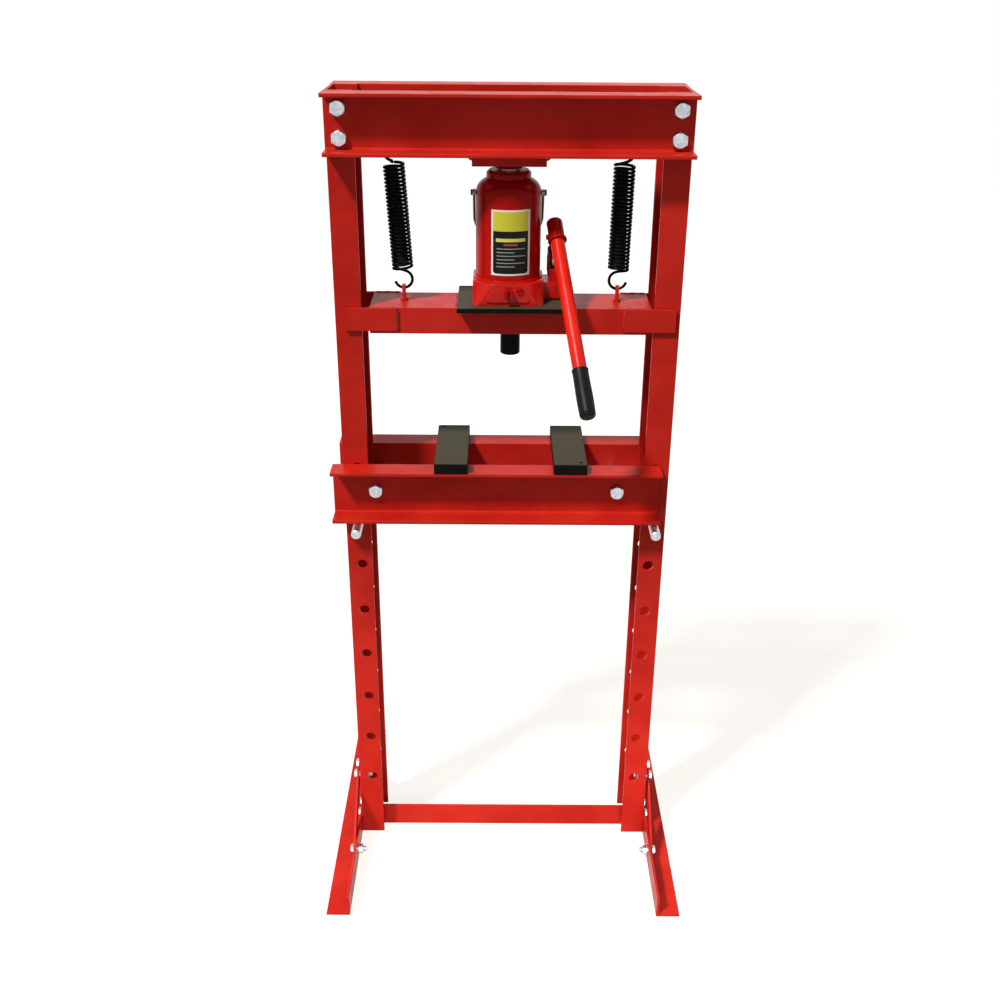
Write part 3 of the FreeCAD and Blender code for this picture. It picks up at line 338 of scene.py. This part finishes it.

# %% [markdown]
# ## Bare and plated metal
# Bolts, nuts and pins are bright zinc plated: a thin blue-white metal whose crystals
# give it a soft, slightly mottled shine. The ram, plunger and saddle are ground steel
# with fine marks round them and a film of oil. The work plates are black paint over
# flame-cut plate, dull and a little dusty in patches, and their upward faces are
# painted paler as a painted reflection of the bright room.

# %% Metals and dark paint
def metal(name, light, dark, rough, grain, stretch=(1, 1, 1), depth=0.01 * MM):
    """Metal that mottles between two tones, with a grain of the given size."""
    made, tree = start(name)
    mottle = ramp(tree, noise(tree, grain * 3, 3.0), 0.35, 0.65)
    tone = blend_colours(tree, mottle, colour(light), colour(dark))
    rounded, bent = edges(tree, 0.6 * MM)
    fine = noise(tree, grain, 2.0, 0.6, stretch)
    shader = add(tree, "BsdfPrincipled", {
        "Base Color": tone, "Metallic": 1.0,
        "Roughness": ramp(tree, fine, 0.3, 0.7, rough - 0.07, rough + 0.09),
        "Normal": bump(tree, fine, depth, rounded)})
    add(tree, "OutputMaterial", {0: shader.outputs[0]})
    return made


ZINC = metal("bright_zinc_plate", "D2D7DD", "B2B7BE", 0.34, 1.6 * MM)
GROUND_STEEL = metal("ground_oiled_steel", "9A9A9C", "7C7C80", 0.26, 0.8 * MM, (1, 1, 12))


def dull_paint(name, base, dusty, rough, wear, grit=1.2 * MM, depth=0.03 * MM, level=0.25,
               painted_top_sheen=None):
    """Thin dark paint: grit in the coat, dust in patches, worn edges, painted reflection on
    tops.
    """
    made, tree = start(name)
    patches = ramp(tree, noise(tree, 28 * MM, 5.0, 0.6), 0.4, 0.75)
    tone = blend_colours(tree, patches, colour(base), colour(dusty))
    # Upward faces blend towards a pale colour: a painted reflection of the bright room on the
    # tops.
    if painted_top_sheen:
        face = add(tree, "NewGeometry")
        up = add(tree, "SeparateXYZ", {0: face.outputs["Normal"]})
        share = ramp(tree, up.outputs[2], 0.6, 0.95, 0.0, 0.85)
        tone = blend_colours(tree, share, tone, colour(painted_top_sheen))
    rounded, bent = edges(tree, 1.0 * MM)
    rub = ramp(tree, noise(tree, 4 * MM, 4.0, 0.65), 0.48, 0.6)
    chip = add(tree, "Math", {0: ramp(tree, bent, 0.05, 0.3), 1: rub}, operation="MULTIPLY")
    tone = blend_colours(tree, chip.outputs[0], tone, colour(wear))
    fine = noise(tree, grit, 2.0)
    shader = add(tree, "BsdfPrincipled", {
        "Base Color": tone,
        "Roughness": ramp(tree, fine, 0.3, 0.7, rough - 0.06, rough + 0.08),
        "Specular IOR Level": level, "Normal": bump(tree, fine, depth, rounded)})
    add(tree, "OutputMaterial", {0: shader.outputs[0]})
    return made


# The plates' pale tops, 4A4536, are a painted reflection of the room on their upward faces.
BLACK_PLATE = dull_paint("black_paint_on_flame_cut_plate", "0B0B09", "15150F", 0.5, "3A3A36",
                         level=0.04, painted_top_sheen="4A4536")
SPRING_BLACK = dull_paint("black_oxide_spring_wire", "060707", "0B0C0C", 0.34, "1A1A1A",
                          0.8 * MM, 0.01 * MM, 0.04)
BAIL_WIRE = metal("dulled_bright_wire", "8A8680", "5A5650", 0.36, 1.2 * MM)
RUBBER = dull_paint("moulded_black_rubber", "080B0E", "0F1418", 0.42, "101214", 0.7 * MM,
                    level=0.12)

# %% [markdown]
# ## The label
# The jack carries a printed film. This one is plain: a pale border, a yellow panel
# above and a black panel below with a few blank bars. Its panels are laid out across
# the film's own box, and the film is glossy over the ink.

# %% Label film
LABEL_LOW, LABEL_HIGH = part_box("jack_label")
LABEL_BORDER = 3.0 * MM
YELLOW_SHARE = 0.31


def between(tree, value, low, high):
    """One where the value lies between two limits, and nought elsewhere."""
    above = add(tree, "Math", {0: value, 1: low}, operation="GREATER_THAN")
    below = add(tree, "Math", {0: value, 1: high}, operation="LESS_THAN")
    return add(tree, "Math", {0: above.outputs[0], 1: below.outputs[0]},
               operation="MULTIPLY").outputs[0]


def patch(tree, axes, x, z):
    """One inside a rectangle of X and Z limits, in metres."""
    wide = between(tree, axes.outputs[0], *x)
    high = between(tree, axes.outputs[2], *z)
    return add(tree, "Math", {0: wide, 1: high}, operation="MULTIPLY").outputs[0]


def rounded_patch(tree, axes, x, z, radius):
    """One inside a rectangle with round corners: |max(|p - c| - (half - r), 0)| < r."""
    gaps = []
    for number, (first, last) in ((0, x), (2, z)):
        out = add(tree, "Math", {0: axes.outputs[number], 1: (first + last) / 2},
                  operation="SUBTRACT")
        out = add(tree, "Math", {0: out.outputs[0]}, operation="ABSOLUTE")
        out = add(tree, "Math", {0: out.outputs[0], 1: (last - first) / 2 - radius},
                  operation="SUBTRACT")
        out = add(tree, "Math", {0: out.outputs[0], 1: 0.0}, operation="MAXIMUM")
        gaps.append(add(tree, "Math", {0: out.outputs[0], 1: 2.0}, operation="POWER"))
    total = add(tree, "Math", {0: gaps[0].outputs[0], 1: gaps[1].outputs[0]}, operation="ADD")
    return add(tree, "Math", {0: total.outputs[0], 1: radius ** 2},
               operation="LESS_THAN").outputs[0]


def label_film():
    """Panels and bars printed on a glossy film."""
    made, tree = start("printed_label_film")
    place = add(tree, "TexCoord")
    axes = add(tree, "SeparateXYZ", {0: place.outputs["Object"]})
    left, right = LABEL_LOW.x + LABEL_BORDER, LABEL_HIGH.x - LABEL_BORDER
    low, high = LABEL_LOW.z + LABEL_BORDER, LABEL_HIGH.z - LABEL_BORDER
    split = high - YELLOW_SHARE * (high - low)
    panel = rounded_patch(tree, axes, (left, right), (low, high), 5 * MM)
    tone = blend_colours(tree, panel, colour("E6E2D8"), colour("121412"))
    tone = blend_colours(tree, patch(tree, axes, (left, right), (split, high)), tone,
                         colour("C9C43A"))
    width = right - left
    bars = [(0.08, 0.92, 0.115, 0.055, "D8CF5A"), (0.3, 0.7, 0.2, 0.03, "B44A3C")]
    bars += [(0.1, 0.92 - 0.3 * (i % 2), 0.275 + 0.058 * i, 0.014, "9A9A92") for i in range(6)]
    for first, last, down, tall, ink in bars:
        top = split - down * (high - low)
        bar = patch(tree, axes, (left + first * width, left + last * width),
                    (top - tall * (high - low), top))
        tone = blend_colours(tree, bar, tone, colour(ink))
    shader = add(tree, "BsdfPrincipled", {
        "Base Color": tone,
        "Roughness": ramp(tree, noise(tree, 20 * MM, 3.0), 0.3, 0.7, 0.22, 0.34),
        "Specular IOR Level": 0.1,
        "Normal": bump(tree, noise(tree, 3 * MM, 1.0), 0.01 * MM)})
    add(tree, "OutputMaterial", {0: shader.outputs[0]})
    return made


LABEL_FILM = label_film()

# %% [markdown]
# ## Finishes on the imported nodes
# The record names a slot for every node, so most finishes go on by slot. The jack's
# foot is a casting and gets the rough enamel instead of the smooth one. Its pressed
# link has only a thin coat, and its saddle has the same red as the tank.

# %% Assign the finishes
BY_SLOT = {
    "frame_enamel": FRAME_ENAMEL, "jack_enamel": JACK_ENAMEL, "handle_enamel": HANDLE_ENAMEL,
    "zinc_plate": ZINC, "black_paint": BLACK_PLATE, "spring_steel": SPRING_BLACK,
    "bail_wire": BAIL_WIRE, "grip_rubber": RUBBER, "seal_rubber": RUBBER,
    "ground_steel": GROUND_STEEL, "label_film": LABEL_FILM,
}
BY_NODE = {"jack_base": CAST_ENAMEL, "pump_links": LINK_ENAMEL,
           "extension_screw": JACK_ENAMEL}
for row in frame["record"]["subparts"]:
    node = NODES[row["node"]]
    finish = BY_NODE.get(row["node"], BY_SLOT[row["material_slot"]])
    node.data.materials.clear()
    node.data.materials.append(finish)

# %% [markdown]
# ## Weld beads
# Brackets are arc welded to the channels before the paint goes on. The welder moves in
# short steps, and every step leaves a ripple that lags at the bead's two edges. The
# beads lie in the inner corners, half sunk in the metal, with rounded ends.

# %% Lay the weld beads
STEP = 2.2 * MM


def bead(first, last, radius, columns=18):
    """r(s, a) = R e(s) (1 + 0.13 cos(2 pi (L s / p + 0.5 cos 2a)) + 0.08 sin(2 pi L s / 19)),
    with e(s) = (1 - (2s - 1)^12)^(1/2) for round ends; sizes in mm."""
    first, last = np.array(first) * MM, np.array(last) * MM
    length = float(np.linalg.norm(last - first))
    s = np.linspace(0, 1, int(length / STEP * 9) + 2)[:, None]
    a = np.linspace(0, 2 * np.pi, columns, endpoint=False)[None, :]
    ends = np.sqrt(np.maximum(1 - (2 * s - 1) ** 12, 0.01))
    ripple = 0.13 * np.cos(2 * np.pi * (length * s / STEP + 0.5 * np.cos(2 * a)))
    drift = 0.08 * np.sin(2 * np.pi * length * s / (19 * MM))
    grid = radius * MM * ends * (1 + ripple + drift)
    towards = [0, 0, 1] if abs(last[2] - first[2]) < MM else [0, 1, 0]
    return tube(first + s * (last - first), grid, towards, columns)


SEAT_SINK = 0.4             # a bead's middle, below the head's underside
SEAT_BEAD_R = 3.4
CORNER_BEAD_R, CORNER_BEAD_L = 6.5, 20.0
BAR_BEAD_R, BAR_WIDE = 2.6, 10.0
BAR_BEAD_UP = 3.0           # above the underside of the spring bars
WEB_SINK = 0.5              # a bar bead's middle, inside the bars' ends

seat = box_mm("jack_seat_plate")[1]
seat_z = seat[2] - SEAT_SINK
frame_beads = [bead((-seat[0], y, seat_z), (seat[0], y, seat_z), SEAT_BEAD_R)
               for y in (-seat[1], seat[1])]
corner_y = seat[1] - CORNER_BEAD_L / 2
frame_beads += [bead((x, y - CORNER_BEAD_L / 2, seat_z), (x, y + CORNER_BEAD_L / 2, seat_z),
                     CORNER_BEAD_R)
                for x in (-seat[0], seat[0]) for y in (-corner_y, corner_y)]
bars_low, bars_high = box_mm("spring_hangers")
bar_z = bars_low[2] + BAR_BEAD_UP
bar_y = bars_high[1] - WEB_SINK
frame_beads += [bead((x, y, bar_z), (x + BAR_WIDE, y, bar_z), BAR_BEAD_R)
                for x in (bars_low[0], bars_high[0] - BAR_WIDE) for y in (-bar_y, bar_y)]
piece("weld_beads_on_head", frame_beads, WELD_ENAMEL, "frame")

STRAP_L = 89.0
UPRIGHT_BEAD_R, TOP_BEAD_R, PLATE_BEAD_R = 3.6, 2.6, 3.2
UPRIGHT_FROM, UPRIGHT_TO = 8.0, 2.0    # from the beam's underside and from its top
TOP_BEAD_DOWN = 0.8
TOP_BEAD_OUT = 1.0          # outside the beam's face, on the strap's edge
PLATE_BEAD_L = 30.0
END_INSET = 0.5             # top beads stop this far inside the beam's ends
PLATE_BEAD_Y = (-45.0, 12.0)

beam_low, beam_high = box_mm("press_beam")
strap_low, strap_high = box_mm("guide_straps")
plate_low, plate_high = box_mm("jack_base_plate")
web = beam_high[1]
top_z = beam_high[2] - TOP_BEAD_DOWN
strap_ends = ((strap_low[0] + STRAP_L, beam_low[0] + END_INSET),
              (strap_high[0] - STRAP_L, beam_high[0] - END_INSET))
beam_beads = []
for face in (-1, 1):
    out = face * (web + TOP_BEAD_OUT)
    for inner, outer in strap_ends:
        beam_beads.append(bead((inner, face * web, beam_low[2] + UPRIGHT_FROM),
                               (inner, face * web, beam_high[2] - UPRIGHT_TO), UPRIGHT_BEAD_R))
        beam_beads.append(bead((inner, out, top_z), (outer, out, top_z), TOP_BEAD_R))
beam_beads += [bead((x, y, beam_high[2]), (x, y + PLATE_BEAD_L, beam_high[2]), PLATE_BEAD_R)
               for x in (plate_low[0], plate_high[0]) for y in PLATE_BEAD_Y]
piece("weld_beads_on_beam", beam_beads, WELD_ENAMEL, "beam")

# %% [markdown]
# ## Rolled threads
# Bolt threads are rolled, not cut: dies press a spiral groove into the blank, so the
# crests are rounded. Only the few turns beyond each nut can be seen. The radius of
# each tail rises and falls along a helix, which the angle shifts by one pitch a turn.

# %% Roll the threads
def thread(start, way, radius, pitch, length=6.2):
    """r(z, a) = R + 0.3 p (0.5 + 0.5 cos(2 pi z / p - a)), closing towards 0.85 R at the tip."""
    way = np.array(way, float)
    rows = int(length / pitch * 14) + 1
    z = np.linspace(-0.5, length, rows)
    a = np.linspace(0, 2 * np.pi, 28, endpoint=False)[None, :]
    crest = radius + 0.3 * pitch * (0.5 + 0.5 * np.cos(2 * np.pi * z[:, None] / pitch - a))
    tip = np.clip((length - z[:, None]) / pitch, 0, 1)
    grid = 0.85 * radius + (crest - 0.85 * radius) * np.sqrt(np.maximum(tip, 0.02))
    return tube((np.array(start) + z[:, None] * way) * MM, grid * MM, [0, 0, 1], 28)


BIG_THREAD = (8.0, 2.0)       # radius and pitch on the head and the bed
SMALL_THREAD = (5.0, 1.5)     # the same on the feet
NUT_HALF, NUT_CORNER = 12.0, 13.9      # half across a big nut's flats and its corners
HEAD_NUT_T = 13.0
FOOT_BOLTS = ((278.6, 18, 24), (283.6, 18, 126), (288.6, 134, 24))   # out, fore and aft, up

nuts_low, nuts_high = box_mm("head_nuts")
head_x = nuts_high[0] - NUT_HALF
head_z = (nuts_low[2] + NUT_CORNER, nuts_high[2] - NUT_CORNER)
head_y = nuts_high[1] - HEAD_NUT_T
head_tails = [thread((x, face * head_y, z), (0, -face, 0), *BIG_THREAD)
              for x in (-head_x, head_x) for z in head_z for face in (-1, 1)]
foot_tails = [thread((side * x, face * y, z), (-side, 0, 0), *SMALL_THREAD)
              for side in (-1, 1) for face in (-1, 1) for x, y, z in FOOT_BOLTS]
piece("rolled_threads_on_frame", head_tails + foot_tails, ZINC, "frame")
nuts_low, nuts_high = box_mm("bed_nuts")
bed_z = (nuts_low[2] + nuts_high[2]) / 2
bed_tails = [thread((x, nuts_high[1], bed_z), (0, 1, 0), *BIG_THREAD)
             for x in (nuts_low[0] + NUT_HALF, nuts_high[0] - NUT_HALF)]
piece("rolled_threads_on_bed", bed_tails, ZINC, "bed")

# %% [markdown]
# ## The moulded grip
# The grip is dipped or moulded vinyl pushed over the handle's end. It has a thicker
# rolled mouth, swells a little in the palm and ends in a dome with the shallow ring
# that the mould's gate leaves. It is one profile turned about the handle: down the
# bore first, then over the mouth, along the outside and in over the dome.

# %% Turn the grip
def turned(profile, origin, axis, columns=48):
    """Points origin + z w + r (cos a u + sin a v) for a profile of (z, r) rows."""
    axis = np.array(axis, float)
    u = np.cross(axis, [0, 0, 1.0])
    u /= np.linalg.norm(u)
    v = np.cross(axis, u)
    a = np.linspace(0, 2 * np.pi, columns, endpoint=False)[None, :, None]
    z, r = profile[:, 0, None, None], profile[:, 1, None, None]
    return origin + z * axis + r * (np.cos(a) * u + np.sin(a) * v)


def node_axis(node, axis):
    """Lowest and highest point of a node's centre line along an axis."""
    points = np.array([v.co for v in NODES[node].data.vertices])
    axis = np.array(axis, float)
    along = points @ axis
    flat = points - along[:, None] * axis
    u = np.cross(axis, [0, 0, 1.0])
    u /= np.linalg.norm(u)
    v = np.cross(axis, u)
    middle = sum((flat @ w).min() * w + (flat @ w).max() * w for w in (u, v)) / 2
    return middle + along.min() * axis, middle + along.max() * axis


BORE_R = 12.2 * MM
END_WALL = 3.4 * MM
MOUTH_R = 13.35 * MM
MOUTH_LONG, MOUTH_THICK = 1.5 * MM, 1.1 * MM
SIDE_R, PALM_SWELL = 13.5 * MM, 0.7 * MM
DOME_R, DOME_FLAT_R = 7.0 * MM, 6.5 * MM

JOINTS = {row["name"]: row for row in frame["record"]["behaviour"]["joints"]}
handle_way = np.array(JOINTS["handle_pull"]["axis"], float)
mouth, tip = node_axis("handle_grip", handle_way)
if mouth[2] < tip[2]:
    mouth, tip = tip, mouth
handle_way = (tip - mouth) / np.linalg.norm(tip - mouth)
length = float(np.linalg.norm(tip - mouth))
bore = np.array([(length - END_WALL, 0.4 * MM), (length - END_WALL, BORE_R - 0.05 * MM),
                 (2 * MM, BORE_R)])
turn_in = np.radians(np.linspace(180, 20, 12))
rolled = np.stack([MOUTH_LONG - MOUTH_LONG * np.sin(turn_in),
                   MOUTH_R + MOUTH_THICK * np.cos(turn_in)], axis=1)
along = np.linspace(4 * MM, length - DOME_R, 40)
swell = SIDE_R + PALM_SWELL * np.sin(np.pi * (along / length) ** 1.4) ** 2
side_wall = np.stack([along, swell], axis=1)
turn_in = np.radians(np.linspace(0, 78, 14))
dome = np.stack([length - DOME_R + DOME_R * np.sin(turn_in),
                 DOME_FLAT_R + DOME_R * np.cos(turn_in)], axis=1)
ring = np.array([(6.6, 0.0), (5.6, 0.1), (5.0, 0.9), (4.2, 1.1), (3.4, 0.9), (2.8, 0.2),
                 (1.6, 0.1), (0.3, 0.1)]) * MM
gate = np.stack([length - ring[:, 1], ring[:, 0]], axis=1)
profile = np.concatenate([bore, rolled, side_wall, dome, gate])
grip = piece("moulded_grip", [turned(profile, mouth, handle_way)], RUBBER,
             "handle")
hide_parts("handle_grip")

# %% [markdown]
# ## The cast pad round the valves
# The jack's foot is sand cast, and the founder adds metal where the valves go in. That
# pad is wider at its foot, has drafted sides so the pattern draws out of the sand, and
# rounded corners. It is a plateau: one outline, scaled in over the bevel.

# %% Cast the pad
def pad(middle, half_high, half_wide, thick, columns=72):
    """Outline x = (w + k z) |cos a|^(1/3) sgn cos a, z = h |sin a|^(1/3) sgn sin a, at a
    scale q(t) and a depth d(t) that run from the back's centre to the front's centre."""
    a = np.linspace(0, 2 * np.pi, columns, endpoint=False)
    z = half_high * np.sign(np.sin(a)) * np.abs(np.sin(a)) ** (1 / 3)
    wide = half_wide[0] + (half_wide[1] - half_wide[0]) * (z / half_high + 1) / 2
    x = wide * np.sign(np.cos(a)) * np.abs(np.cos(a)) ** (1 / 3)
    outline = np.stack([x, 0 * x, z], axis=1)[None]
    turn_in = np.radians(np.linspace(0, 90, 8))
    scale = np.concatenate([[0.02, 0.5, 1.0], 0.93 + 0.07 * np.cos(turn_in), [0.6, 0.3, 0.02]])
    depth = np.concatenate([[-1.0, -1.0, -1.0], thick * np.sin(turn_in), [thick] * 3])
    grid = np.array(middle) + outline * scale[:, None, None]
    grid = grid + depth[:, None, None] * np.array([0, -1.0, 0])
    return grid * MM


PAD_UP = 17.0               # the pad's middle, above the foot's underside
PAD_HALF_HIGH = 11.5
PAD_HALF_WIDE = (41.0, 28.0)           # at its foot and at its top
PAD_T = 1.8

foot_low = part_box("jack_base")[0]
middle = (0, foot_low.y / MM, foot_low.z / MM + PAD_UP)
piece("cast_valve_pad", [pad(middle, PAD_HALF_HIGH, PAD_HALF_WIDE, PAD_T)],
      CAST_ENAMEL, "beam")

# %% [markdown]
# ## Return springs
# Each spring is one length of wire: a hook, a quarter turn that swings out to the
# coil, close turns, and the same again at the top. The whole wire is one path, so
# the hooks flow into the coil as they do when a machine bends them.

# %% Wind the springs
WIRE_R = 2.6 * MM
COIL_R = 16.4 * MM
COIL_L = 176.0 * MM
TURNS = {-1: 27.75, 1: 27.5}
HOOK_R = 15.0 * MM
EYE_R = 7.0 * MM
BAR_R = 5.0 * MM
EYE_UP = 22.3 * MM
HANGER_UP = 10.7 * MM
HOOK_FROM, HOOK_TO = 193, 428          # degrees round the eye
LEAVES, MEETS = 10 * MM, 12 * MM       # pull of the bend at the hook and at the coil
MEETS_LOW = 2 * MM


def bezier(points, steps):
    """A cubic from four control points: (1-t)^3 a + 3t(1-t)^2 b + 3t^2(1-t) c + t^3 d."""
    t = np.linspace(0, 1, steps)[:, None]
    a, b, c, d = [np.array(p) for p in points]
    return (1 - t) ** 3 * a + 3 * t * (1 - t) ** 2 * b + 3 * t * t * (1 - t) * c + t ** 3 * d


def hook_and_bend(low, phase):
    """A hook of radius H about the eye, then a cubic that meets the coil at the phase."""
    angle = np.radians(np.linspace(HOOK_FROM, HOOK_TO, 44))
    hook = np.stack([HOOK_R * np.cos(angle), 0 * angle, HOOK_R * np.sin(angle)], axis=1)
    ahead = np.array([-np.sin(angle[-1]), 0, np.cos(angle[-1])])
    meets = np.array([COIL_R * math.cos(phase), COIL_R * math.sin(phase), low])
    behind = np.array([math.sin(phase), -math.cos(phase), 0]) * MEETS
    bend = bezier([hook[-1], hook[-1] + ahead * LEAVES, meets + behind - [0, 0, MEETS_LOW],
                   meets], 18)
    return np.concatenate([hook, bend[1:-1]])


def spring_wire(span, turns):
    """Hook and bend, a helix (R cos a, R sin a, z), then a hook and bend turned about Y."""
    low = (span - COIL_L) / 2
    share = np.linspace(0, 1, int(turns * 24) + 1)
    turn = math.pi + share * turns * 2 * math.pi
    coil = np.stack([COIL_R * np.cos(turn), COIL_R * np.sin(turn), low + share * COIL_L], axis=1)
    first = hook_and_bend(low, math.pi)
    last = hook_and_bend(low, math.pi - float(turn[-1]))
    last = (last * [-1, 1, -1])[::-1] + [0, 0, span]
    return np.concatenate([first, coil, last])


def spring(side):
    """A wound spring that leans from the eye on the beam up to the bar in the head."""
    name = "left" if side < 0 else "right"
    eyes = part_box("spring_eyes")
    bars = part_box("spring_hangers")
    beam_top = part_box("press_beam")[1].z
    head_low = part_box("head_channel_front")[0].z
    end = 0 if side < 0 else 1
    foot = np.array([eyes[end].x - side * EYE_R, 0, beam_top + EYE_UP + HOOK_R])
    head = np.array([bars[end].x - side * BAR_R, 0, head_low + HANGER_UP - HOOK_R])
    way = head - foot
    span = float(np.linalg.norm(way))
    path = spring_wire(span, TURNS[side])
    towards = np.stack([path[:, 0], path[:, 1], 0 * path[:, 0]], axis=1)
    ends = np.abs(path[:, 2] - span / 2) > COIL_L / 2
    towards[ends] = [0, -1, 0]
    grid = tube(path, WIRE_R, towards, 8)
    if side > 0:
        grid = grid * [-1, -1, 1]
    lean = math.atan2(way[0], way[2])
    c, s = math.cos(lean), math.sin(lean)
    grid = grid @ np.array([[c, 0, -s], [0, 1, 0], [s, 0, c]]) + foot
    made = piece("wound_spring_" + name, [grid], SPRING_BLACK, None)
    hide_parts("spring_" + name)
    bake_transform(made)


for side in (-1, 1):
    spring(side)
